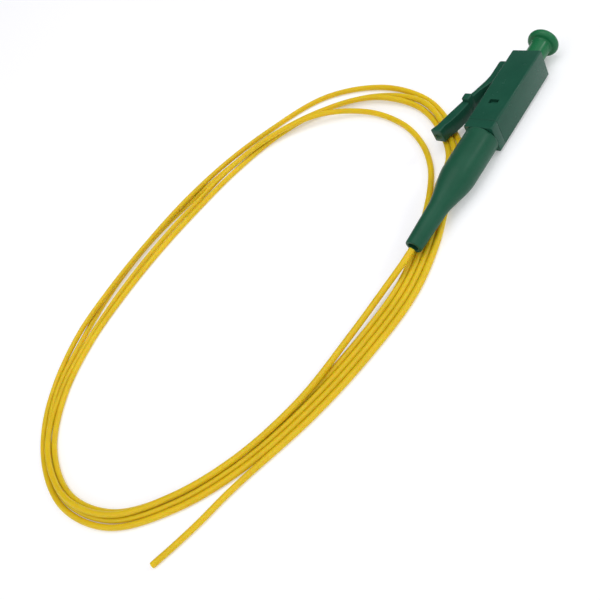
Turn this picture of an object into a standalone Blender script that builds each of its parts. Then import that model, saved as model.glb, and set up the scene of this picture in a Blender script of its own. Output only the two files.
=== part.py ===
"""Fibre optic pigtail: a small square plug with a push latch, a dust cap and a soft boot,
on a loosely coiled tight-buffered fibre.

Metres, +Z up. The plug lies on its side on the table at Z = 0 and its nose points along +Y.
The origin is at the bottom centre of the plug end, from the cap to the boot's tail.
"""
import math

import bmesh
import bpy
import numpy as np
from mathutils import Matrix, Vector

MM = 0.001

# Clearance between pieces that fit into or against each other
FIT_GAP = 0.10 * MM

# Plug body: a square moulded shell
BODY_SIDE = 4.52 * MM
BODY_LENGTH = 13.1 * MM
BODY_EDGE = 0.35 * MM
NOSE_BORE_RADIUS = 1.70 * MM
REAR_CAVITY_SIDE = 3.10 * MM
REAR_CAVITY_DEPTH = 5.6 * MM
WINDOW_LENGTH = 0.75 * MM
WINDOW_WIDTH = 1.45 * MM
WINDOW_FROM_REAR = 3.0 * MM

# Back body: collar behind the shell, head inside it, post inside the boot
COLLAR_LENGTH = 1.40 * MM
HEAD_LENGTH = 4.9 * MM
SNAP_TAB_HEIGHT = 0.45 * MM
POST_RADIUS = 1.55 * MM
POST_LENGTH = 6.0 * MM
FIBRE_DUCT_RADIUS = 0.75 * MM

# Ferrule and its holder, under the cap
FERRULE_RADIUS = 0.625 * MM
FERRULE_LENGTH = 6.4 * MM
FERRULE_ANGLE = math.radians(8.0)
FERRULE_PROUD = 1.6 * MM
HOLDER_RADIUS = 1.45 * MM
MICRO_BORE_RADIUS = 0.25 * MM

# Latch: root block, slanting arm, two side ears, deeper thumb end
LATCH_WIDTH = 2.40 * MM
LATCH_ROOT_FROM_NOSE = 1.05 * MM
LATCH_ROOT_LENGTH = 3.0 * MM
LATCH_FOOT_END_Y = 11.4 * MM
EAR_SPAN = 3.70 * MM
EAR_LENGTH = 1.15 * MM
EAR_FROM_ROOT = 7.1 * MM
EAR_DEPTH = 1.25 * MM
EAR_MIDDLE_X = 5.2 * MM
LATCH_EDGE = 0.12 * MM
# Its edge in millimetres as (out from the plug's axis, forward of the collar's rear)
LATCH_OUTER = [
    (4.1, 10.5), (4.35, 9.4), (4.7, 8.45), (5.05, 7.5), (5.5, 6.5), (5.95, 5.3),
    (6.4, 4.0), (6.75, 3.0), (7.1, 1.9), (7.5, 0.6), (8.1, -0.5),
]
LATCH_INNER = [
    (6.3, -0.5), (6.15, 0.6), (5.6, 1.6), (5.25, 2.6), (4.95, 3.7), (4.75, 4.7),
    (4.7, 5.7), (4.6, 6.6), (4.2, 7.6), (3.4, 8.85),
]

# Dust cap: sleeve inside the nose, neck, rounded rim
CAP_NECK_RADIUS = 1.48 * MM
CAP_NECK_LENGTH = 3.3 * MM
CAP_SLEEVE_DEPTH = 2.6 * MM
CAP_RIM_RADIUS = 2.30 * MM
CAP_RIM_THICKNESS = 1.15 * MM
CAP_SOCKET_DEPTH = 4.6 * MM

# Boot: wide barrel, taper, thin tail
BOOT_RADIUS = 2.48 * MM
BOOT_BARREL_LENGTH = 7.0 * MM
BOOT_TAPER_END_RADIUS = 1.42 * MM
BOOT_TAPER_LENGTH = 5.6 * MM
BOOT_TAIL_RADIUS = 1.22 * MM
BOOT_LENGTH = 19.1 * MM
BOOT_LIP = 0.18 * MM

# How far the strands under its tail hold the boot off the table
BOOT_LIFT = 0.18 * MM

# Tight-buffered fibre
FIBRE_RADIUS = 0.45 * MM
FIBRE_STEP = 2.8 * MM
FIBRE_JOINT_GAP = 0.3 * MM
FINE_STEPS = 40

ROUND_STEPS = 40

# Places that follow from the sizes above
CAP_END_Y = COLLAR_LENGTH + BODY_LENGTH + CAP_NECK_LENGTH + CAP_RIM_THICKNESS
NOSE_Y = COLLAR_LENGTH + BODY_LENGTH
AXIS_X = (LATCH_OUTER[-1][0] * MM - BOOT_RADIUS) / 2
AXIS_Y = (BOOT_LENGTH - CAP_END_Y) / 2
AXIS_Z = BOOT_RADIUS + BOOT_LIFT
BODY_HALF = BODY_SIDE / 2
LATCH_ROOT_Y = NOSE_Y - LATCH_ROOT_FROM_NOSE

# Fibre route in millimetres from the plug's axis at the collar; heights are above the table.
# Every turn follows the loop's middle line in its own lane: (side step to the inside, height).
EXIT_RUN = [(0.0, -19.4, 2.66), (-0.3, -21.6, 2.33)]
LOOP_MIDDLE = [
    (0.3, -24.5), (-0.8, -34.0), (-3.2, -44.0), (-7.2, -54.5), (-13.0, -63.5), (-21.5, -70.0),
    (-32.0, -72.5), (-42.0, -69.0), (-49.0, -61.5), (-52.8, -52.0), (-53.5, -42.0), (-52.8, -31.5),
    (-51.0, -21.5), (-47.8, -11.5), (-42.8, -3.0), (-35.5, 3.5), (-26.0, 6.8), (-16.5, 6.0),
    (-9.5, 2.0), (-5.2, -2.8), (-3.6, -7.2), (-1.9, -11.2), (0.0, -17.0),
]
TURN_LANES = [
    [(1.4, 1.6), (1.15, 1.5), (0.15, 1.4), (0.1, 1.25), (0.3, 1.28), (-0.35, 1.28),
     (-0.1, 1.28), (-0.1, 1.25), (0.0, 0.45), (0.95, 0.45), (0.7, 0.45), (0.45, 0.45),
     (0.5, 0.45), (1.0, 1.3), (1.3, 1.6), (2.0, 1.6), (2.65, 0.8), (3.25, 0.45),
     (3.0, 0.45), (2.55, 0.45), (1.6, 0.45), (1.6, 0.45), (1.55, 0.45)],
    [(0.65, 0.45), (0.5, 0.45), (0.45, 0.45), (0.75, 0.45), (0.8, 0.45), (0.25, 0.45),
     (0.45, 0.45), (0.5, 0.45), (1.1, 0.45), (1.9, 0.45), (2.05, 0.45), (2.1, 0.45),
     (2.1, 0.45), (1.6, 0.45), (0.85, 0.6), (0.5, 1.05), (-0.15, 1.2), (-0.48, 0.6),
     (-0.3, 0.45), (-0.25, 0.45), (0.47, 0.45), (0.66, 0.45), (0.58, 0.45)],
    [(-0.33, 0.45), (-0.48, 0.45), (-0.53, 0.45), (-0.4, 0.45), (-0.25, 0.45), (-0.85, 0.45),
     (-0.55, 0.45), (-0.7, 0.45), (-1.1, 0.45), (-0.7, 0.45), (-1.8, 0.45), (-2.2, 0.45),
     (-1.3, 0.45), (-0.5, 0.45), (-0.45, 0.45), (-0.4, 0.45), (-1.15, 0.45), (-1.45, 0.85),
     (-1.1, 0.95), (-1.23, 0.45), (-0.48, 0.45), (-0.31, 0.45), (-0.38, 0.45)],
    [(-1.3, 0.45), (-1.45, 0.45), (-1.5, 0.45), (-1.4, 0.45), (-1.23, 0.45), (-1.85, 0.45),
     (-1.52, 0.45), (-1.75, 0.45), (-2.2, 0.45), (-1.2, 1.32), (-1.2, 1.36), (-1.5, 1.15),
     (-1.15, 1.42), (-1.55, 1.0), (-2.4, 0.45), (-3.7, 0.45), (-3.2, 0.45), (-2.33, 0.45),
     (-1.92, 0.45), (-2.22, 0.45), (-1.45, 0.45), (-1.28, 0.45), (-1.34, 0.45)],
]
FREE_END_LANES = [(-2.27, 0.45), (-2.42, 0.45), (-2.5, 0.45), (-2.7, 0.45)]
FREE_END = [(-5.95, -59.2, 0.45), (-7.15, -63.5, 0.45), (-8.5, -67.5, 0.45), (-9.9, -71.2, 0.45)]


def clear_scene():
    for old in list(bpy.data.objects):
        bpy.data.objects.remove(old, do_unlink=True)


def make_material(name, color, roughness, metallic=0.0):
    material = bpy.data.materials.new(name)
    material.use_nodes = True
    shader = material.node_tree.nodes["Principled BSDF"]
    shader.inputs["Base Color"].default_value = (*color, 1.0)
    shader.inputs["Roughness"].default_value = roughness
    shader.inputs["Metallic"].default_value = metallic
    material.diffuse_color = (*color, 1.0)
    return material


def add_object(name, mesh_builder, material, parent, round_piece=False):
    """Make an object from a bmesh that mesh_builder fills."""
    mesh = bpy.data.meshes.new(name)
    bm = bmesh.new()
    mesh_builder(bm)
    bmesh.ops.recalc_face_normals(bm, faces=bm.faces)
    bm.to_mesh(mesh)
    bm.free()
    if round_piece:
        mesh.shade_smooth()
        mesh.set_sharp_from_angle(angle=math.radians(35))
    if material:
        mesh.materials.append(material)
    obj = bpy.data.objects.new(name, mesh)
    bpy.context.collection.objects.link(obj)
    obj.parent = parent
    return obj


def turned(outline, steps=ROUND_STEPS):
    """A builder that turns a closed (y, radius) outline about the Y axis."""
    def build(bm):
        rings = []
        for y, radius in outline:
            if radius == 0:
                rings.append([bm.verts.new((0, y, 0))])
                continue
            rings.append([
                bm.verts.new((radius * math.cos(a), y, radius * math.sin(a)))
                for a in (2 * math.pi * i / steps for i in range(steps))
            ])
        for ring, following in zip(rings, rings[1:] + rings[:1]):
            if len(ring) == 1 and len(following) == 1:
                continue
            for i in range(steps):
                j = (i + 1) % steps
                corners = [ring[i % len(ring)], ring[j % len(ring)],
                           following[j % len(following)], following[i % len(following)]]
                bm.faces.new(list(dict.fromkeys(corners)))
    return build


def prism(outline, width):
    """A builder that extrudes a closed (x, y) outline by width, centred on Z = 0."""
    def build(bm):
        low = [bm.verts.new((x, y, -width / 2)) for x, y in outline]
        face = bm.faces.new(low)
        grown = bmesh.ops.extrude_face_region(bm, geom=[face])
        raised = [v for v in grown["geom"] if isinstance(v, bmesh.types.BMVert)]
        bmesh.ops.translate(bm, verts=raised, vec=(0, 0, width))
    return build


def block(size, centre):
    """A builder for a box of the given size about a centre."""
    def build(bm):
        place = Matrix.Translation(Vector(centre)) @ Matrix.Diagonal((*size, 1.0))
        bmesh.ops.create_cube(bm, size=1.0, matrix=place)
    return build


def add_bevel(obj, width, segments=2, angle=30):
    bevel = obj.modifiers.new("bevel", "BEVEL")
    bevel.width = width
    bevel.segments = segments
    bevel.limit_method = "ANGLE"
    bevel.angle_limit = math.radians(angle)
    return bevel


def add_boolean(obj, tool, operation):
    boolean = obj.modifiers.new(operation.lower(), "BOOLEAN")
    boolean.operation = operation
    boolean.solver = "EXACT"
    boolean.object = tool
    tool.hide_render = True
    tool.display_type = "WIRE"


def build_body(material, parent):
    """Square shell with a round nose bore, a square rear cavity and two side windows."""
    middle_y = COLLAR_LENGTH + FIT_GAP + (BODY_LENGTH - FIT_GAP) / 2
    shell = add_object("plug_body", block((BODY_SIDE, BODY_LENGTH - FIT_GAP, BODY_SIDE),
                                          (0, middle_y, 0)), material, parent)
    add_bevel(shell, BODY_EDGE, 3)
    past = BODY_SIDE
    nose_bore = add_object("cut_nose_bore", turned([
        (COLLAR_LENGTH + REAR_CAVITY_DEPTH, 0), (COLLAR_LENGTH + REAR_CAVITY_DEPTH, NOSE_BORE_RADIUS),
        (NOSE_Y + past, NOSE_BORE_RADIUS), (NOSE_Y + past, 0)]), None, parent)
    add_boolean(shell, nose_bore, "DIFFERENCE")
    rear_length = REAR_CAVITY_DEPTH + FIT_GAP + past
    rear_cavity = add_object("cut_rear_cavity", block(
        (REAR_CAVITY_SIDE, rear_length, REAR_CAVITY_SIDE),
        (0, COLLAR_LENGTH + REAR_CAVITY_DEPTH + FIT_GAP - rear_length / 2, 0)), None, parent)
    add_boolean(shell, rear_cavity, "DIFFERENCE")
    window_y = COLLAR_LENGTH + WINDOW_FROM_REAR + WINDOW_LENGTH / 2
    windows = add_object("cut_windows", block(
        (WINDOW_WIDTH, WINDOW_LENGTH, BODY_SIDE + past), (0, window_y, 0)), None, parent)
    add_boolean(shell, windows, "DIFFERENCE")
    return shell


def build_back_body(material, parent):
    """Square collar, head with a snap tab in each window, post for the boot, fibre duct through."""
    collar = add_object("back_body", block((BODY_SIDE, COLLAR_LENGTH, BODY_SIDE),
                                           (0, COLLAR_LENGTH / 2, 0)), material, parent)
    add_bevel(collar, BODY_EDGE, 3)
    head_side = REAR_CAVITY_SIDE - 2 * FIT_GAP
    head = add_object("join_head", block(
        (head_side, HEAD_LENGTH + COLLAR_LENGTH / 2, head_side),
        (0, COLLAR_LENGTH / 2 + (HEAD_LENGTH + COLLAR_LENGTH / 2) / 2, 0)), None, parent)
    add_boolean(collar, head, "UNION")
    tab_length = WINDOW_LENGTH - 2 * FIT_GAP
    tab = add_object("join_tabs", block(
        (WINDOW_WIDTH - 2 * FIT_GAP, tab_length, head_side + 2 * SNAP_TAB_HEIGHT),
        (0, COLLAR_LENGTH + WINDOW_FROM_REAR + FIT_GAP + tab_length / 2, 0)), None, parent)
    add_boolean(collar, tab, "UNION")
    post = add_object("join_post", turned([
        (COLLAR_LENGTH / 2, 0), (COLLAR_LENGTH / 2, POST_RADIUS),
        (-POST_LENGTH, POST_RADIUS), (-POST_LENGTH, 0)]), None, parent)
    add_boolean(collar, post, "UNION")
    past = BODY_SIDE
    duct = add_object("cut_duct", turned([
        (-POST_LENGTH - past, 0), (-POST_LENGTH - past, FIBRE_DUCT_RADIUS),
        (COLLAR_LENGTH + HEAD_LENGTH + past, FIBRE_DUCT_RADIUS),
        (COLLAR_LENGTH + HEAD_LENGTH + past, 0)]), None, parent)
    add_boolean(collar, duct, "DIFFERENCE")
    return collar


def build_ferrule(material, parent):
    """Ceramic ferrule with an angled tip and a fine bore."""
    tip_y = NOSE_Y + FERRULE_PROUD
    base_y = tip_y - FERRULE_LENGTH
    outline = [
        (base_y, MICRO_BORE_RADIUS), (base_y, FERRULE_RADIUS - 0.1 * MM),
        (base_y + 0.1 * MM, FERRULE_RADIUS), (tip_y - 0.4 * MM, FERRULE_RADIUS),
        (tip_y, FERRULE_RADIUS - 0.15 * MM), (tip_y, MICRO_BORE_RADIUS),
    ]
    ferrule = add_object("ferrule", turned(outline), material, parent, round_piece=True)
    shear = math.tan(FERRULE_ANGLE)
    for vertex in ferrule.data.vertices:
        if vertex.co.y > tip_y - 0.2 * MM:
            vertex.co.y -= shear * (vertex.co.x + FERRULE_RADIUS)
    return ferrule


def build_holder(material, parent):
    """Metal flange that holds the ferrule's foot and stands against the back body's head."""
    foot_y = NOSE_Y + FERRULE_PROUD - FERRULE_LENGTH
    back_y = COLLAR_LENGTH + HEAD_LENGTH + FIT_GAP
    front_y = NOSE_Y - CAP_SLEEVE_DEPTH - 3 * FIT_GAP
    socket = FERRULE_RADIUS + FIT_GAP
    outline = [
        (back_y, FIBRE_DUCT_RADIUS - 0.2 * MM), (back_y, HOLDER_RADIUS),
        (front_y, HOLDER_RADIUS), (front_y, socket),
        (foot_y - FIT_GAP, socket), (foot_y - FIT_GAP, FIBRE_DUCT_RADIUS - 0.2 * MM),
    ]
    return add_object("ferrule_holder", turned(outline), material, parent, round_piece=True)


def latch_outline():
    """The latch seen from its edge: root block, slanting arm and flared thumb end."""
    foot_x = -BODY_HALF - FIT_GAP
    root_x = -LATCH_OUTER[0][0] * MM
    corner = 0.2 * MM
    outer = [(-out * MM, y * MM) for out, y in LATCH_OUTER]
    inner = [(-out * MM, y * MM) for out, y in LATCH_INNER]
    return [
        (foot_x, LATCH_ROOT_Y), (root_x + corner, LATCH_ROOT_Y), (root_x, LATCH_ROOT_Y - corner),
        *outer, *inner, (foot_x, LATCH_FOOT_END_Y),
    ]


def build_latch(material, parent):
    """Cantilever latch with an ear on each side; its origin is on the root it flexes about."""
    pivot = bpy.data.objects.new("latch_root", None)
    bpy.context.collection.objects.link(pivot)
    pivot.parent = parent
    pivot.location = (-BODY_HALF, LATCH_ROOT_Y - LATCH_ROOT_LENGTH / 2, 0)
    latch = add_object("latch", prism(latch_outline(), LATCH_WIDTH), material, pivot)
    latch.data.transform(Matrix.Translation(-pivot.location))
    add_bevel(latch, LATCH_EDGE, 2, angle=50)
    ear_y = LATCH_ROOT_Y - EAR_FROM_ROOT - EAR_LENGTH / 2
    ears = add_object("join_ears", block((EAR_DEPTH, EAR_LENGTH, EAR_SPAN), (-EAR_MIDDLE_X, ear_y, 0)),
                      None, pivot)
    ears.data.transform(Matrix.Translation(-pivot.location))
    add_bevel(ears, LATCH_EDGE, 2, angle=50)
    add_boolean(latch, ears, "UNION")
    return latch


def build_cap(material, parent):
    """Dust cap: hollow sleeve in the nose bore, neck in front of it, rounded rim at the end."""
    sleeve_y = NOSE_Y - CAP_SLEEVE_DEPTH
    rim_y = NOSE_Y + CAP_NECK_LENGTH
    socket_radius = FERRULE_RADIUS + FIT_GAP
    middle_y = rim_y + CAP_RIM_THICKNESS / 2
    round_radius = CAP_RIM_THICKNESS / 2
    rim = [
        (middle_y - round_radius * math.cos(a), CAP_RIM_RADIUS - round_radius + round_radius * math.sin(a))
        for a in np.linspace(0, math.pi, 9)
    ]
    outline = [
        (sleeve_y, socket_radius), (sleeve_y, CAP_NECK_RADIUS - 0.15 * MM),
        (sleeve_y + 0.15 * MM, CAP_NECK_RADIUS), (rim_y - 0.25 * MM, CAP_NECK_RADIUS),
        (rim_y, CAP_NECK_RADIUS + 0.2 * MM), *rim, (rim_y + CAP_RIM_THICKNESS, 0),
        (sleeve_y + CAP_SOCKET_DEPTH, 0), (sleeve_y + CAP_SOCKET_DEPTH, socket_radius),
    ]
    return add_object("dust_cap", turned(outline), material, parent, round_piece=True)


def build_boot(material, parent):
    """Soft boot on the post, with a smooth taper into a thin tail."""
    start_y = -FIT_GAP
    taper_y = -BOOT_BARREL_LENGTH
    tail_y = -BOOT_BARREL_LENGTH - BOOT_TAPER_LENGTH
    end_y = -BOOT_LENGTH
    taper = []
    for t in np.linspace(0, 1, 8):
        ease = (1 - math.cos(math.pi * t)) / 2
        ease = 0.55 * ease + 0.45 * t
        radius = BOOT_RADIUS + (BOOT_TAPER_END_RADIUS - BOOT_RADIUS) * ease
        taper.append((taper_y + (tail_y - taper_y) * t, radius))
    socket = POST_RADIUS + FIT_GAP
    outline = [
        (start_y, socket), (start_y, BOOT_RADIUS - BOOT_LIP), (start_y - BOOT_LIP, BOOT_RADIUS),
        *taper, (end_y + BOOT_LIP, BOOT_TAIL_RADIUS), (end_y, BOOT_TAIL_RADIUS - BOOT_LIP),
        (end_y, FIBRE_DUCT_RADIUS), (-POST_LENGTH - FIT_GAP, FIBRE_DUCT_RADIUS),
        (-POST_LENGTH - FIT_GAP, socket),
    ]
    return add_object("boot", turned(outline), material, parent, round_piece=True)


def smooth_route(points):
    """A smooth curve through the route points, sampled about every FIBRE_STEP."""
    route = np.array(points, float) * MM
    steps = np.linalg.norm(np.diff(route, axis=0), axis=1) ** 0.5
    knots = np.concatenate([[0.0], np.cumsum(steps)])
    slopes = np.gradient(route, knots, axis=0)
    fine = []
    for i in range(len(route) - 1):
        span = knots[i + 1] - knots[i]
        for t in np.linspace(0, 1, FINE_STEPS, endpoint=False):
            fine.append(
                (2 * t ** 3 - 3 * t ** 2 + 1) * route[i] + (t ** 3 - 2 * t ** 2 + t) * span * slopes[i]
                + (3 * t ** 2 - 2 * t ** 3) * route[i + 1] + (t ** 3 - t ** 2) * span * slopes[i + 1])
    fine.append(route[-1])
    return np.array(fine)


def run_between(curve, distance, start, end):
    """Evenly spaced points of the curve from one distance along it to another."""
    count = max(2, round((end - start) / FIBRE_STEP) + 1)
    at = np.linspace(start, end, count)
    return np.column_stack([np.interp(at, distance, curve[:, k]) for k in range(3)])


def add_tube(name, points, material):
    curve = bpy.data.curves.new(name, "CURVE")
    curve.dimensions = "3D"
    curve.bevel_depth = FIBRE_RADIUS
    curve.bevel_resolution = 2
    curve.use_fill_caps = True
    spline = curve.splines.new("POLY")
    spline.points.add(len(points) - 1)
    for point, place in zip(spline.points, points):
        point.co = (*place, 1.0)
    curve.materials.append(material)
    tube = bpy.data.objects.new(name, curve)
    bpy.context.collection.objects.link(tube)
    return tube


def lane_points(lanes):
    """Points of one turn: each lane is a side step towards the inside of the loop and a height."""
    points = []
    for k, (side, height) in enumerate(lanes):
        x, y = LOOP_MIDDLE[k]
        before = LOOP_MIDDLE[k - 1]
        after = LOOP_MIDDLE[(k + 1) % len(LOOP_MIDDLE)]
        along = np.array(after) - np.array(before)
        along /= np.linalg.norm(along)
        points.append((x + side * along[1], y - side * along[0], height))
    return points


def build_fibre(material):
    """The fibre as one run for each turn and one for the free end."""
    runs = [lane_points(lanes) for lanes in TURN_LANES]
    runs[0] = EXIT_RUN + runs[0]
    runs.append(lane_points(FREE_END_LANES) + FREE_END)
    names = [f"fibre_turn_{k + 1}" for k in range(len(TURN_LANES))] + ["fibre_free_end"]
    curve = smooth_route([point for run in runs for point in run])
    curve += np.array([AXIS_X, AXIS_Y, 0.0])
    curve[:, 2] = np.maximum(curve[:, 2], FIBRE_RADIUS)
    distance = np.concatenate([[0.0], np.cumsum(np.linalg.norm(np.diff(curve, axis=0), axis=1))])
    first = 0
    bounds = [0.0]
    for run in runs[:-1]:
        first += len(run)
        bounds.append(distance[first * FINE_STEPS])
    bounds.append(distance[-1])
    for name, start, end in zip(names, bounds, bounds[1:]):
        gap = FIBRE_JOINT_GAP if end < distance[-1] else 0.0
        add_tube(name, run_between(curve, distance, start, end - gap), material)


def build():
    clear_scene()
    shell_green = make_material("shell_green", (0.014, 0.085, 0.055), 0.35)
    latch_green = make_material("latch_green", (0.014, 0.085, 0.055), 0.35)
    collar_green = make_material("collar_green", (0.014, 0.085, 0.055), 0.35)
    cap_green = make_material("cap_green", (0.02, 0.22, 0.08), 0.3)
    boot_green = make_material("boot_green", (0.02, 0.11, 0.07), 0.5)
    ceramic_white = make_material("ceramic_white", (0.85, 0.85, 0.82), 0.2)
    flange_metal = make_material("flange_metal", (0.6, 0.6, 0.58), 0.3, 1.0)
    jacket_yellow = make_material("jacket_yellow", (0.72, 0.5, 0.03), 0.45)

    axis = bpy.data.objects.new("plug_axis", None)
    bpy.context.collection.objects.link(axis)
    axis.location = (AXIS_X, AXIS_Y, AXIS_Z)

    build_body(shell_green, axis)
    build_back_body(collar_green, axis)
    build_ferrule(ceramic_white, axis)
    build_holder(flange_metal, axis)
    build_latch(latch_green, axis)
    build_cap(cap_green, axis)
    build_boot(boot_green, axis)
    build_fibre(jacket_yellow)


build()
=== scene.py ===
"""Looks of the fibre optic pigtail: finish of every surface, the fibre, the stage and the camera."""

import math

import bmesh
import bpy
import numpy as np
from mathutils import Euler, Matrix, Vector


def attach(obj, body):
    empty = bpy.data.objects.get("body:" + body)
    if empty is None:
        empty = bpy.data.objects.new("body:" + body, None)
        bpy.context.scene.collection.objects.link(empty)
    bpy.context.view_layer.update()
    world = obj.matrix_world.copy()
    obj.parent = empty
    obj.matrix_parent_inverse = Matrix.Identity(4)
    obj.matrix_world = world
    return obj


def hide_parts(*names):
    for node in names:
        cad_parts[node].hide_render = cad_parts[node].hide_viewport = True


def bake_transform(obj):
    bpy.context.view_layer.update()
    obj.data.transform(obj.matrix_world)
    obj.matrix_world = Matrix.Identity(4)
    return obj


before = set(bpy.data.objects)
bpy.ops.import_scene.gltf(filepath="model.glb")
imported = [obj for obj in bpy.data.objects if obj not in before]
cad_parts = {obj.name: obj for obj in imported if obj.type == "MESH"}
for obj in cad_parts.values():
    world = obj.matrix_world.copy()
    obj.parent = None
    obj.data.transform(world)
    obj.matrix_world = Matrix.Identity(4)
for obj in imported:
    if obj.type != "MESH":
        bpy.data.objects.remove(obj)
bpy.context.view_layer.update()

MM = 0.001

# Camera, in millimetres and degrees
CAMERA_PLACE = (57.79, -54.34, 70.68)
CAMERA_TURN = (37.285, 29.48, 38.353)
CAMERA_LENS = 42.0
CAMERA_FILM = 36.0

# Floor
FLOOR_HALF = 1.0
FLOOR_DROP = 0.00002
FLOOR_COLOR = (0.75, 0.75, 0.765, 1)
FLOOR_GLOW = 0.28

# Sky: white, darker towards the horizon and in one direction, which the plug's top mirrors
SKY_COLOR = (1.0, 1.0, 1.03, 1)
SKY_STRENGTH = 1.05
HORIZON_SHARE = 0.25
FULL_SKY_HEIGHT = 0.6
DARK_SIDE = (-0.68, 0.23, 0.69)
DARK_STRENGTH = 0.1
DARK_STARTS = 0.55
DARK_IS_FULL = 0.88

# Lamps as (name, place, target, diameter, watts), in metres
LAMPS = [
    ("key", (-0.035, 0.0, 0.5), (-0.02, -0.03, 0), 0.45, 0.9),
    ("rim", (0.32, 0.29, 0.26), (0, 0, 0), 0.06, 0.28),
]

# Plastics as (darker, lighter) colours and (lowest, highest) roughness
SHELL_GREENS = (0.010, 0.070, 0.042), (0.014, 0.084, 0.051)
SHELL_GLOSS = (0.18, 0.28)
CAP_GREENS = (0.010, 0.13, 0.046), (0.014, 0.155, 0.058)
CAP_GLOSS = (0.22, 0.32)
BOOT_GREENS = (0.012, 0.078, 0.043), (0.016, 0.092, 0.052)
BOOT_GLOSS = (0.32, 0.42)
JACKET_YELLOWS = (0.65, 0.465, 0.008), (0.73, 0.525, 0.013)
JACKET_GLOSS = (0.38, 0.5)
JACKET_DEPTH = 0.0008
JACKET_SPREAD = (1.0, 0.5, 0.06)
CERAMIC_WHITES = (0.82, 0.82, 0.79), (0.88, 0.88, 0.86)
CERAMIC_GLOSS = (0.12, 0.2)
FLANGE_GREYS = (0.5, 0.49, 0.46), (0.66, 0.65, 0.62)
FLANGE_GLOSS = (0.25, 0.4)

# Where the plug's own axis meets the rear face of its collar
AXIS = Vector((2.81, 0.075, 2.66)) * MM

# Sizes of the moulded pieces, in millimetres
BODY_SIDE = 4.52
COLLAR_LENGTH = 1.40
BODY_LENGTH = 13.1
NOSE_Y = COLLAR_LENGTH + BODY_LENGTH
SEAM = 0.015
SHELL_EDGE = 0.22
END_EDGE = 0.05
SMOOTH_ANGLE = 30
TURNED_SMOOTH_ANGLE = 40
CUTTER_REACH = 2.0
CUT_OVERLAP = 0.1
NOSE_BORE_RADIUS = 1.70
NOSE_CHAMFER = 0.12
REAR_CAVITY_SIDE = 3.10
REAR_CAVITY_DEPTH = 5.6
WINDOW_LENGTH = 0.75
WINDOW_WIDTH = 1.45
WINDOW_FROM_REAR = 3.0
WINDOW_EDGE = 0.1
PLAY = 0.2
TAB_HEIGHT = 0.9
TAB_EDGE = 0.06
HEAD_LENGTH = 4.9
POST_RADIUS = 1.55
POST_LENGTH = 6.0
FIBRE_DUCT_RADIUS = 0.75

# Latch edge as (out from the plug's axis, forward of the collar's rear)
LATCH_OUTER = [
    (4.1, 10.5), (4.35, 9.4), (4.7, 8.45), (5.05, 7.5), (5.5, 6.5), (5.95, 5.3),
    (6.4, 4.0), (6.75, 3.0), (7.1, 1.9), (7.5, 0.6), (8.1, -0.5),
]
LATCH_INNER = [
    (6.3, -0.5), (6.15, 0.6), (5.6, 1.6), (5.25, 2.6), (4.95, 3.7), (4.75, 4.7),
    (4.7, 5.7), (4.6, 6.6), (4.2, 7.6), (3.4, 8.85),
]
LATCH_WIDTH = 2.40
LATCH_ROOT_Y = NOSE_Y - 1.05
LATCH_FOOT_END_Y = 11.4
LATCH_SINK = 0.06
LATCH_ROOT_CHAMFER = 0.2
LATCH_ARMPIT = (0.25, 10.6)
LATCH_EDGE = 0.14
LATCH_EDGE_ANGLE = 50
EAR_SPAN = 3.70
EAR_DEPTH = 1.25
EAR_LENGTH = 1.15
EAR_MIDDLE = (-5.2, LATCH_ROOT_Y - 7.1 - EAR_LENGTH / 2)
EAR_EDGE = 0.2
DIMPLE_SIZE = (0.5, 0.3, 0.5)
DIMPLE_MIDDLE = (-7.3, -0.5, 0)
DIMPLE_EDGE = 0.1

# Dust cap and boot
CAP_NECK_RADIUS = 1.48
CAP_NECK_LENGTH = 3.3
CAP_SLEEVE_DEPTH = 2.6
CAP_RIM_RADIUS = 2.30
CAP_RIM_THICKNESS = 1.15
CAP_SOCKET_DEPTH = 4.6
CAP_SOCKET_RADIUS = 0.725
CAP_TIP_CHAMFER = 0.15
CAP_NECK_SHAPE = [(0.05, 0.1), (0.5, 0.02), (1.2, -0.02)]
CAP_NECK_FILLET = 0.28
CAP_FACE_DISH = (0.02, 0.25)
BOOT_RADIUS = 2.48
BOOT_BARREL_LENGTH = 7.0
BOOT_TAPER_END_RADIUS = 1.42
BOOT_TAPER_LENGTH = 5.6
BOOT_TAIL_RADIUS = 1.22
BOOT_LENGTH = 19.1
BOOT_GAP = 0.04
BOOT_FRONT_EDGE = 0.22
BOOT_LIP = 0.18
BOOT_PLAY = 0.1
BOOT_EASE = 0.55
BOOT_TAPER_STEPS = 28
EDGE_STEPS = 6

# Fibre
FIBRE_RADIUS = 0.45
FIBRE_POINT_STEP = 0.9
FINE_STEPS = 40

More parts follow.
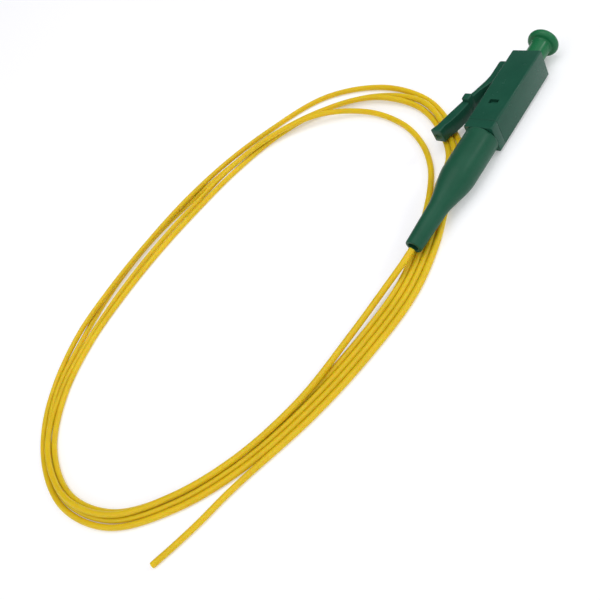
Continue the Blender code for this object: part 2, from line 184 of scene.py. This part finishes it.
# The fibre's route from the plug's axis at the collar; heights are above the table.
# Every turn follows the loop's middle line in its own lane: (side step to the inside, height).
EXIT_RUN = [(0.0, -19.4, 2.66), (-0.3, -21.6, 2.33)]
LOOP_MIDDLE = [
    (0.3, -24.5), (-0.8, -34.0), (-3.2, -44.0), (-7.2, -54.5), (-13.0, -63.5), (-21.5, -70.0),
    (-32.0, -72.5), (-42.0, -69.0), (-49.0, -61.5), (-52.8, -52.0), (-53.5, -42.0), (-52.8, -31.5),
    (-51.0, -21.5), (-47.8, -11.5), (-42.8, -3.0), (-35.5, 3.5), (-26.0, 6.8), (-16.5, 6.0),
    (-9.5, 2.0), (-5.2, -2.8), (-3.6, -7.2), (-1.9, -11.2), (0.0, -17.0),
]
TURN_LANES = [
    [(1.4, 1.6), (1.15, 1.5), (0.15, 1.4), (0.1, 1.25), (0.3, 1.28), (-0.35, 1.28),
     (-0.1, 1.28), (-0.1, 1.25), (0.0, 0.45), (0.95, 0.45), (0.7, 0.45), (0.45, 0.45),
     (0.5, 0.45), (1.0, 1.3), (1.3, 1.6), (2.0, 1.6), (2.65, 0.8), (3.25, 0.45),
     (3.0, 0.45), (2.55, 0.45), (1.6, 0.45), (1.6, 0.45), (1.55, 0.45)],
    [(0.65, 0.45), (0.5, 0.45), (0.45, 0.45), (0.75, 0.45), (0.8, 0.45), (0.25, 0.45),
     (0.45, 0.45), (0.5, 0.45), (1.1, 0.45), (1.9, 0.45), (2.05, 0.45), (2.1, 0.45),
     (2.1, 0.45), (1.6, 0.45), (0.85, 0.6), (0.5, 1.05), (-0.15, 1.2), (-0.48, 0.6),
     (-0.3, 0.45), (-0.25, 0.45), (0.47, 0.45), (0.66, 0.45), (0.58, 0.45)],
    [(-0.33, 0.45), (-0.48, 0.45), (-0.53, 0.45), (-0.4, 0.45), (-0.25, 0.45), (-0.85, 0.45),
     (-0.55, 0.45), (-0.7, 0.45), (-1.1, 0.45), (-0.7, 0.45), (-1.8, 0.45), (-2.2, 0.45),
     (-1.3, 0.45), (-0.5, 0.45), (-0.45, 0.45), (-0.4, 0.45), (-1.15, 0.45), (-1.45, 0.85),
     (-1.1, 0.95), (-1.23, 0.45), (-0.48, 0.45), (-0.31, 0.45), (-0.38, 0.45)],
    [(-1.3, 0.45), (-1.45, 0.45), (-1.5, 0.45), (-1.4, 0.45), (-1.23, 0.45), (-1.85, 0.45),
     (-1.52, 0.45), (-1.75, 0.45), (-2.2, 0.45), (-1.2, 1.32), (-1.2, 1.36), (-1.5, 1.15),
     (-1.15, 1.42), (-1.55, 1.0), (-2.4, 0.45), (-3.7, 0.45), (-3.2, 0.45), (-2.33, 0.45),
     (-1.92, 0.45), (-2.22, 0.45), (-1.45, 0.45), (-1.28, 0.45), (-1.34, 0.45)],
]
FREE_END_LANES = [(-2.27, 0.45), (-2.42, 0.45), (-2.5, 0.45), (-2.7, 0.45)]
FREE_END = [(-5.95, -59.2, 0.45), (-7.15, -63.5, 0.45), (-8.5, -67.5, 0.45), (-9.9, -71.2, 0.45)]


def mesh_object(name, build, smooth_angle=None):
    """An object of the named mesh, drawn by build in millimetres from the plug's axis."""
    bm = bmesh.new()
    build(bm)
    bmesh.ops.recalc_face_normals(bm, faces=bm.faces)
    bmesh.ops.transform(bm, matrix=Matrix.Translation(AXIS) @ Matrix.Scale(MM, 4), verts=bm.verts)
    mesh = bpy.data.meshes.new(name)
    bm.to_mesh(mesh)
    bm.free()
    obj = bpy.data.objects.new(name, mesh)
    bpy.context.scene.collection.objects.link(obj)
    if smooth_angle is not None:
        smooth(obj, smooth_angle)
    return obj


def smooth(obj, angle):
    obj.data.shade_smooth()
    obj.data.set_sharp_from_angle(angle=math.radians(angle))


def apply_modifiers(obj):
    """Bakes the object's modifiers into its mesh."""
    graph = bpy.context.evaluated_depsgraph_get()
    baked = bpy.data.meshes.new_from_object(obj.evaluated_get(graph))
    obj.modifiers.clear()
    obj.data = baked


def bevel(obj, width, segments=3, angle=30):
    modifier = obj.modifiers.new("bevel", "BEVEL")
    modifier.width = width * MM
    modifier.segments = segments
    modifier.limit_method = "ANGLE"
    modifier.angle_limit = math.radians(angle)
    modifier.use_clamp_overlap = True
    apply_modifiers(obj)


def round_block(size, centre, edge):
    """A block with round edges along Y."""
    def build(bm):
        block(size, centre)(bm)
        long_edges = [e for e in bm.edges
                      if abs(e.verts[0].co.y - e.verts[1].co.y) > size[1] / 2]
        bmesh.ops.bevel(bm, geom=long_edges, offset=edge, segments=5, profile=0.5, affect="EDGES")
    return build


def combine(obj, tool, operation):
    """Boolean of obj with tool, which is used up."""
    modifier = obj.modifiers.new("boolean", "BOOLEAN")
    modifier.operation = operation
    modifier.solver = "EXACT"
    modifier.object = tool
    apply_modifiers(obj)
    bpy.data.objects.remove(tool, do_unlink=True)


def block(size, centre):
    def build(bm):
        place = Matrix.Translation(Vector(centre)) @ Matrix.Diagonal((*size, 1.0))
        bmesh.ops.create_cube(bm, size=1.0, matrix=place)
    return build


def prism(outline, width):
    def build(bm):
        low = [bm.verts.new((x, y, -width / 2)) for x, y in outline]
        face = bm.faces.new(low)
        grown = bmesh.ops.extrude_face_region(bm, geom=[face])
        raised = [v for v in grown["geom"] if isinstance(v, bmesh.types.BMVert)]
        bmesh.ops.translate(bm, verts=raised, vec=(0, 0, width))
    return build


def turned(outline, steps=96):
    """Turns a closed (y, radius) outline about the plug's axis."""
    def build(bm):
        rings = []
        for y, radius in outline:
            if radius == 0:
                rings.append([bm.verts.new((0, y, 0))])
                continue
            rings.append([
                bm.verts.new((radius * math.cos(a), y, radius * math.sin(a)))
                for a in (2 * math.pi * i / steps for i in range(steps))
            ])
        for ring, following in zip(rings, rings[1:] + rings[:1]):
            if len(ring) == 1 and len(following) == 1:
                continue
            for i in range(steps):
                j = (i + 1) % steps
                corners = [ring[i % len(ring)], ring[j % len(ring)],
                           following[j % len(following)], following[i % len(following)]]
                bm.faces.new(list(dict.fromkeys(corners)))
    return build


def arc(centre, radius, start, end, steps):
    """(y, radius) points of an arc in an outline, angles in degrees from the forward direction."""
    y, r = centre
    return [
        (y + radius * math.cos(a), r + radius * math.sin(a))
        for a in np.radians(np.linspace(start, end, steps))
    ]


def place_camera():
    camera_data = bpy.data.cameras.new("camera")
    camera_data.lens = CAMERA_LENS
    camera_data.sensor_width = CAMERA_FILM
    camera_data.clip_start = 0.002
    camera_data.clip_end = 5.0
    camera = bpy.data.objects.new("camera", camera_data)
    camera.location = Vector(CAMERA_PLACE) * MM
    camera.rotation_euler = Euler([math.radians(a) for a in CAMERA_TURN])
    bpy.context.scene.collection.objects.link(camera)
    bpy.context.scene.camera = camera


def area_light(name, place, target, diameter, power):
    data = bpy.data.lights.new(name, "AREA")
    data.shape = "DISK"
    data.size = diameter
    data.energy = power
    light = bpy.data.objects.new(name, data)
    light.location = place
    light.rotation_euler = (Vector(target) - Vector(place)).to_track_quat("-Z", "Y").to_euler()
    bpy.context.scene.collection.objects.link(light)


def build_floor():
    bm = bmesh.new()
    bmesh.ops.create_grid(bm, x_segments=1, y_segments=1, size=FLOOR_HALF)
    mesh = bpy.data.meshes.new("floor")
    bm.to_mesh(mesh)
    bm.free()
    floor = bpy.data.objects.new("floor", mesh)
    floor.location.z = -FLOOR_DROP
    bpy.context.scene.collection.objects.link(floor)
    material = bpy.data.materials.new("floor_white")
    material.use_nodes = True
    shader = material.node_tree.nodes["Principled BSDF"]
    shader.inputs["Base Color"].default_value = FLOOR_COLOR
    shader.inputs["Roughness"].default_value = 0.9
    shader.inputs["Specular IOR Level"].default_value = 0.1
    shader.inputs["Emission Color"].default_value = (1.0, 1.0, 1.0, 1)
    shader.inputs["Emission Strength"].default_value = FLOOR_GLOW
    floor.data.materials.append(material)


def soft_step(tree, value, from_range, to_range):
    """A smooth step of a value in the sky's node tree."""
    node = tree.nodes.new("ShaderNodeMapRange")
    node.interpolation_type = "SMOOTHSTEP"
    node.inputs["From Min"].default_value = from_range[0]
    node.inputs["From Max"].default_value = from_range[1]
    node.inputs["To Min"].default_value = to_range[0]
    node.inputs["To Max"].default_value = to_range[1]
    tree.links.new(value, node.inputs["Value"])
    return node.outputs["Result"]


def build_sky():
    """Soft white surroundings with a dark side and a darker horizon."""
    world = bpy.data.worlds.new("studio")
    world.use_nodes = True
    tree = world.node_tree
    background = tree.nodes["Background"]
    background.inputs["Color"].default_value = SKY_COLOR
    direction = tree.nodes.new("ShaderNodeTexCoord").outputs["Generated"]
    towards = tree.nodes.new("ShaderNodeVectorMath")
    towards.operation = "DOT_PRODUCT"
    towards.inputs[1].default_value = DARK_SIDE
    tree.links.new(direction, towards.inputs[0])
    height = tree.nodes.new("ShaderNodeSeparateXYZ")
    tree.links.new(direction, height.inputs["Vector"])
    strength = tree.nodes.new("ShaderNodeMath")
    strength.operation = "MULTIPLY"
    dark_side = soft_step(
        tree, towards.outputs["Value"], (DARK_STARTS, DARK_IS_FULL), (SKY_STRENGTH, DARK_STRENGTH))
    tree.links.new(dark_side, strength.inputs[0])
    horizon = soft_step(tree, height.outputs["Z"], (0.0, FULL_SKY_HEIGHT), (HORIZON_SHARE, 1.0))
    tree.links.new(horizon, strength.inputs[1])
    tree.links.new(strength.outputs["Value"], background.inputs["Strength"])
    bpy.context.scene.world = world


def build_stage():
    """Pale floor, soft white surroundings and the lamps."""
    build_floor()
    build_sky()
    for lamp in LAMPS:
        area_light(*lamp)
    bpy.context.scene.view_settings.view_transform = "Standard"
    bpy.context.scene.view_settings.look = "None"


class Nodes:
    """Short hand for building a material's node tree."""

    def __init__(self, name):
        self.material = bpy.data.materials.new(name)
        self.material.use_nodes = True
        self.tree = self.material.node_tree
        self.shader = self.tree.nodes["Principled BSDF"]

    def add(self, kind, **settings):
        node = self.tree.nodes.new(kind)
        for key, value in settings.items():
            setattr(node, key, value)
        return node

    def link(self, source, target):
        self.tree.links.new(source, target)

    def set(self, **values):
        for key, value in values.items():
            self.shader.inputs[key.replace("_", " ")].default_value = value

    def noise(self, scale, detail=4.0, roughness=0.55, stretch=None):
        """Noise by place on the object; scale is in features per metre."""
        node = self.add("ShaderNodeTexNoise")
        node.inputs["Scale"].default_value = scale
        node.inputs["Detail"].default_value = detail
        node.inputs["Roughness"].default_value = roughness
        coordinates = self.add("ShaderNodeTexCoord").outputs["Object"]
        if stretch:
            mapping = self.add("ShaderNodeMapping")
            mapping.inputs["Scale"].default_value = stretch
            self.link(coordinates, mapping.inputs["Vector"])
            coordinates = mapping.outputs["Vector"]
        self.link(coordinates, node.inputs["Vector"])
        return node.outputs["Fac"]

    def ramp(self, value, stops):
        node = self.add("ShaderNodeValToRGB")
        elements = node.color_ramp.elements
        while len(elements) < len(stops):
            elements.new(0.5)
        for element, (position, color) in zip(elements, stops):
            element.position = position
            element.color = (*color, 1) if len(color) == 3 else color
        self.link(value, node.inputs["Fac"])
        return node.outputs["Color"]

    def map_range(self, value, low, high, from_low=0.3, from_high=0.7):
        node = self.add("ShaderNodeMapRange")
        node.inputs["From Min"].default_value = from_low
        node.inputs["From Max"].default_value = from_high
        node.inputs["To Min"].default_value = low
        node.inputs["To Max"].default_value = high
        self.link(value, node.inputs["Value"])
        return node.outputs["Result"]

    def bump(self, height, distance, strength=1.0, after=None):
        node = self.add("ShaderNodeBump")
        node.inputs["Distance"].default_value = distance
        node.inputs["Strength"].default_value = strength
        self.link(height, node.inputs["Height"])
        if after:
            self.link(after, node.inputs["Normal"])
        return node.outputs["Normal"]


def moulded_plastic(name, colors, gloss, shine=0.4, grain=0.003, grain_scale=5000.0):
    """Injection-moulded plastic: slow colour drift, uneven gloss and a fine sparked grain."""
    dark, light = colors
    nodes = Nodes(name)
    drift = nodes.noise(260.0, 3.0)
    nodes.link(nodes.ramp(drift, [(0.3, dark), (0.7, light)]), nodes.shader.inputs["Base Color"])
    gloss_drift = nodes.noise(900.0, 5.0)
    nodes.link(nodes.map_range(gloss_drift, *gloss), nodes.shader.inputs["Roughness"])
    fine = nodes.noise(grain_scale, 3.0)
    slow = nodes.bump(drift, 0.00004, 0.15)
    nodes.link(nodes.bump(fine, grain * MM, 0.35, after=slow), nodes.shader.inputs["Normal"])
    nodes.set(IOR=1.34, Specular_IOR_Level=shine)
    return nodes.material


def fibre_jacket():
    """Matt, slightly translucent yellow buffer with a faint drift in colour."""
    nodes = Nodes("jacket_yellow_finish")
    drift = nodes.noise(180.0, 4.0)
    nodes.link(
        nodes.ramp(drift, [(0.3, JACKET_YELLOWS[0]), (0.7, JACKET_YELLOWS[1])]),
        nodes.shader.inputs["Base Color"])
    nodes.link(nodes.map_range(nodes.noise(1200.0), *JACKET_GLOSS), nodes.shader.inputs["Roughness"])
    nodes.link(nodes.bump(nodes.noise(3000.0, 3.0), 0.000002, 0.3), nodes.shader.inputs["Normal"])
    nodes.set(IOR=1.46, Specular_IOR_Level=0.3, Subsurface_Weight=0.8, Subsurface_Scale=JACKET_DEPTH)
    nodes.shader.inputs["Subsurface Radius"].default_value = JACKET_SPREAD
    return nodes.material


def white_ceramic():
    nodes = Nodes("ceramic_finish")
    nodes.link(
        nodes.ramp(nodes.noise(400.0), [(0.3, CERAMIC_WHITES[0]), (0.7, CERAMIC_WHITES[1])]),
        nodes.shader.inputs["Base Color"])
    nodes.link(nodes.map_range(nodes.noise(3000.0), *CERAMIC_GLOSS), nodes.shader.inputs["Roughness"])
    nodes.set(IOR=2.1)
    return nodes.material


def turned_metal():
    nodes = Nodes("flange_finish")
    rings = nodes.noise(20000.0, 2.0, stretch=(0.02, 1.0, 0.02))
    nodes.link(
        nodes.ramp(rings, [(0.3, FLANGE_GREYS[0]), (0.7, FLANGE_GREYS[1])]),
        nodes.shader.inputs["Base Color"])
    nodes.link(nodes.map_range(rings, *FLANGE_GLOSS), nodes.shader.inputs["Roughness"])
    nodes.link(nodes.bump(rings, 0.000004, 0.6), nodes.shader.inputs["Normal"])
    nodes.set(Metallic=1.0)
    return nodes.material


def lane_points(lanes):
    """Points of one turn: each lane is a side step towards the inside of the loop and a height."""
    points = []
    for k, (side, height) in enumerate(lanes):
        x, y = LOOP_MIDDLE[k]
        before = LOOP_MIDDLE[k - 1]
        after = LOOP_MIDDLE[(k + 1) % len(LOOP_MIDDLE)]
        along = np.array(after) - np.array(before)
        along /= np.linalg.norm(along)
        points.append((x + side * along[1], y - side * along[0], height))
    return points


def smooth_route(points):
    """A smooth curve through the route points, in metres in the frame."""
    route = np.array(points, float) * MM
    steps = np.linalg.norm(np.diff(route, axis=0), axis=1) ** 0.5
    knots = np.concatenate([[0.0], np.cumsum(steps)])
    slopes = np.gradient(route, knots, axis=0)
    fine = []
    for i in range(len(route) - 1):
        span = knots[i + 1] - knots[i]
        for t in np.linspace(0, 1, FINE_STEPS, endpoint=False):
            fine.append(
                (2 * t ** 3 - 3 * t ** 2 + 1) * route[i] + (t ** 3 - 2 * t ** 2 + t) * span * slopes[i]
                + (3 * t ** 2 - 2 * t ** 3) * route[i + 1] + (t ** 3 - t ** 2) * span * slopes[i + 1])
    fine.append(route[-1])
    fine = np.array(fine) + np.array([AXIS.x, AXIS.y, 0.0])
    fine[:, 2] = np.maximum(fine[:, 2], FIBRE_RADIUS * MM)
    return fine


def build_fibre(material):
    """The whole fibre as one curve, from the boot's tail to its cut end."""
    points = list(EXIT_RUN)
    for lanes in TURN_LANES:
        points += lane_points(lanes)
    points += lane_points(FREE_END_LANES) + FREE_END
    curve = smooth_route(points)
    distance = np.concatenate([[0.0], np.cumsum(np.linalg.norm(np.diff(curve, axis=0), axis=1))])
    count = round(distance[-1] / (FIBRE_POINT_STEP * MM)) + 1
    at = np.linspace(0, distance[-1], count)
    places = np.column_stack([np.interp(at, distance, curve[:, k]) for k in range(3)])

    data = bpy.data.curves.new("fibre", "CURVE")
    data.dimensions = "3D"
    data.bevel_depth = FIBRE_RADIUS * MM
    data.bevel_resolution = 6
    data.use_fill_caps = True
    spline = data.splines.new("POLY")
    spline.points.add(count - 1)
    for point, place in zip(spline.points, places):
        point.co = (*place, 1.0)
    data.materials.append(material)
    fibre = bpy.data.objects.new("fibre", data)
    bpy.context.scene.collection.objects.link(fibre)
    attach(fibre, "plug")
    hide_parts(*[f"fibre_turn_{k + 1}" for k in range(len(TURN_LANES))], "fibre_free_end")


def build_shell(material):
    """Square shell with a nose bore, a rear cavity and a window in each side."""
    start_y = COLLAR_LENGTH + SEAM
    shell = mesh_object("shell", round_block(
        (BODY_SIDE, NOSE_Y - start_y, BODY_SIDE), (0, (NOSE_Y + start_y) / 2, 0), SHELL_EDGE))
    bevel(shell, END_EDGE, 3, angle=50)
    bore_end = COLLAR_LENGTH + REAR_CAVITY_DEPTH
    mouth_radius = NOSE_BORE_RADIUS + NOSE_CHAMFER
    combine(shell, mesh_object("bore", turned([
        (bore_end, 0), (bore_end, NOSE_BORE_RADIUS), (NOSE_Y - NOSE_CHAMFER, NOSE_BORE_RADIUS),
        (NOSE_Y, mouth_radius), (NOSE_Y + CUTTER_REACH, mouth_radius),
        (NOSE_Y + CUTTER_REACH, 0)])), "DIFFERENCE")
    cavity_length = REAR_CAVITY_DEPTH + CUTTER_REACH
    combine(shell, mesh_object("cavity", block(
        (REAR_CAVITY_SIDE, cavity_length, REAR_CAVITY_SIDE),
        (0, bore_end + CUT_OVERLAP - cavity_length / 2, 0))), "DIFFERENCE")
    window_y = COLLAR_LENGTH + WINDOW_FROM_REAR + WINDOW_LENGTH / 2
    windows = mesh_object("windows", block(
        (WINDOW_WIDTH, WINDOW_LENGTH, BODY_SIDE + CUTTER_REACH), (0, window_y, 0)))
    bevel(windows, WINDOW_EDGE, 3)
    combine(shell, windows, "DIFFERENCE")
    smooth(shell, SMOOTH_ANGLE)
    shell.data.materials.append(material)
    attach(shell, "plug")
    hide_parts("plug_body")


def build_back(material):
    """Collar behind the shell, with its head inside the shell and its post inside the boot."""
    collar = mesh_object("back", round_block(
        (BODY_SIDE, COLLAR_LENGTH, BODY_SIDE), (0, COLLAR_LENGTH / 2, 0), SHELL_EDGE))
    bevel(collar, END_EDGE, 3, angle=50)
    head_side = REAR_CAVITY_SIDE - PLAY
    head_length = HEAD_LENGTH + COLLAR_LENGTH / 2
    combine(collar, mesh_object("head", block(
        (head_side, head_length, head_side),
        (0, COLLAR_LENGTH / 2 + head_length / 2, 0))), "UNION")
    tab = mesh_object("tab", block(
        (WINDOW_WIDTH - PLAY, WINDOW_LENGTH - PLAY, head_side + TAB_HEIGHT),
        (0, COLLAR_LENGTH + WINDOW_FROM_REAR + WINDOW_LENGTH / 2, 0)))
    bevel(tab, TAB_EDGE, 2)
    combine(collar, tab, "UNION")
    combine(collar, mesh_object("post", turned([
        (COLLAR_LENGTH / 2, 0), (COLLAR_LENGTH / 2, POST_RADIUS),
        (-POST_LENGTH, POST_RADIUS), (-POST_LENGTH, 0)])), "UNION")
    duct_rear = -POST_LENGTH - CUTTER_REACH
    duct_front = COLLAR_LENGTH + HEAD_LENGTH + CUTTER_REACH
    combine(collar, mesh_object("duct", turned([
        (duct_rear, 0), (duct_rear, FIBRE_DUCT_RADIUS),
        (duct_front, FIBRE_DUCT_RADIUS), (duct_front, 0)])), "DIFFERENCE")
    smooth(collar, SMOOTH_ANGLE)
    collar.data.materials.append(material)
    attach(collar, "plug")
    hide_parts("back_body")


def build_latch(material):
    """Latch arm, moulded onto the shell at its root."""
    side_x = -BODY_SIDE / 2
    foot_x = side_x + LATCH_SINK
    root_x = -LATCH_OUTER[0][0]
    outline = [
        (foot_x, LATCH_ROOT_Y), (root_x + LATCH_ROOT_CHAMFER, LATCH_ROOT_Y),
        (root_x, LATCH_ROOT_Y - LATCH_ROOT_CHAMFER),
        *[(-out, y) for out, y in LATCH_OUTER], *[(-out, y) for out, y in LATCH_INNER],
        (side_x - LATCH_ARMPIT[0], LATCH_ARMPIT[1]), (foot_x, LATCH_FOOT_END_Y - LATCH_ROOT_CHAMFER),
    ]
    latch = mesh_object("latch_arm", prism(outline, LATCH_WIDTH))
    bevel(latch, LATCH_EDGE, 3, angle=LATCH_EDGE_ANGLE)
    ears = mesh_object("ears", block((EAR_DEPTH, EAR_LENGTH, EAR_SPAN), (*EAR_MIDDLE, 0)))
    bevel(ears, EAR_EDGE, 4)
    combine(latch, ears, "UNION")
    dimple = mesh_object("dimple", block(DIMPLE_SIZE, DIMPLE_MIDDLE))
    bevel(dimple, DIMPLE_EDGE, 3)
    combine(latch, dimple, "DIFFERENCE")
    smooth(latch, SMOOTH_ANGLE)
    latch.data.materials.append(material)
    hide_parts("latch")
    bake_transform(latch)


def build_cap(material):
    """Dust cap: sleeve in the nose, neck with a small fillet at each end, rounded rim."""
    sleeve_y = NOSE_Y - CAP_SLEEVE_DEPTH
    rim_y = NOSE_Y + CAP_NECK_LENGTH
    half = CAP_RIM_THICKNESS / 2
    end_y = rim_y + CAP_RIM_THICKNESS
    fillet = CAP_NECK_FILLET
    dish_depth, dish_edge = CAP_FACE_DISH
    outline = [
        (sleeve_y, CAP_SOCKET_RADIUS), (sleeve_y, CAP_NECK_RADIUS - CAP_TIP_CHAMFER),
        (sleeve_y + CAP_TIP_CHAMFER, CAP_NECK_RADIUS),
        *[(NOSE_Y + forward, CAP_NECK_RADIUS + out) for forward, out in CAP_NECK_SHAPE],
        *[(rim_y - fillet + fillet * math.sin(a), CAP_NECK_RADIUS + fillet - fillet * math.cos(a))
          for a in np.linspace(0, math.pi / 2, EDGE_STEPS)],
        *reversed(arc((rim_y + half, CAP_RIM_RADIUS - half), half, 0, 180, 17)),
        (end_y - dish_depth, CAP_RIM_RADIUS - half - dish_edge), (end_y, 0),
        (sleeve_y + CAP_SOCKET_DEPTH, 0), (sleeve_y + CAP_SOCKET_DEPTH, CAP_SOCKET_RADIUS),
    ]
    cap = mesh_object("cap", turned(outline), smooth_angle=TURNED_SMOOTH_ANGLE)
    cap.data.materials.append(material)
    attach(cap, "cap")
    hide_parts("dust_cap")


def build_boot(material):
    """Soft boot: barrel, long eased taper and a thin tail with a rolled lip."""
    start_y = -BOOT_GAP
    edge = BOOT_FRONT_EDGE
    lip_y = -BOOT_LENGTH + BOOT_LIP
    lip_radius = BOOT_TAIL_RADIUS - BOOT_LIP
    post_hole_y = -POST_LENGTH - BOOT_PLAY
    quarter_turn = np.linspace(0, math.pi / 2, EDGE_STEPS)[1:]
    outline = [
        (start_y, POST_RADIUS + BOOT_PLAY), (start_y, BOOT_RADIUS - edge),
        *[(start_y - edge + edge * math.cos(a), BOOT_RADIUS - edge + edge * math.sin(a))
          for a in quarter_turn],
    ]
    for t in np.linspace(0, 1, BOOT_TAPER_STEPS):
        ease = BOOT_EASE * (1 - math.cos(math.pi * t)) / 2 + (1 - BOOT_EASE) * t
        outline.append((-BOOT_BARREL_LENGTH - BOOT_TAPER_LENGTH * t,
                        BOOT_RADIUS + (BOOT_TAPER_END_RADIUS - BOOT_RADIUS) * ease))
    outline += [
        (lip_y, BOOT_TAIL_RADIUS),
        *[(lip_y - BOOT_LIP * math.sin(a), lip_radius + BOOT_LIP * math.cos(a)) for a in quarter_turn],
        (-BOOT_LENGTH, FIBRE_DUCT_RADIUS + BOOT_PLAY), (-BOOT_LENGTH + BOOT_PLAY, FIBRE_DUCT_RADIUS),
        (post_hole_y, FIBRE_DUCT_RADIUS), (post_hole_y, POST_RADIUS + BOOT_PLAY),
    ]
    boot = mesh_object("boot_skin", turned(outline), smooth_angle=TURNED_SMOOTH_ANGLE)
    boot.data.materials.append(material)
    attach(boot, "plug")
    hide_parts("boot")


place_camera()
build_fibre(fibre_jacket())
build_stage()

shell_finish = moulded_plastic("shell_finish", SHELL_GREENS, SHELL_GLOSS)
build_shell(shell_finish)
build_back(shell_finish)
build_latch(shell_finish)
build_cap(moulded_plastic("cap_finish", CAP_GREENS, CAP_GLOSS))
build_boot(moulded_plastic(
    "boot_finish", BOOT_GREENS, BOOT_GLOSS, shine=0.25, grain=0.008, grain_scale=6000.0))
for node, finish in (("ferrule", white_ceramic()), ("ferrule_holder", turned_metal())):
    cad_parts[node].data.materials.clear()
    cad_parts[node].data.materials.append(finish)
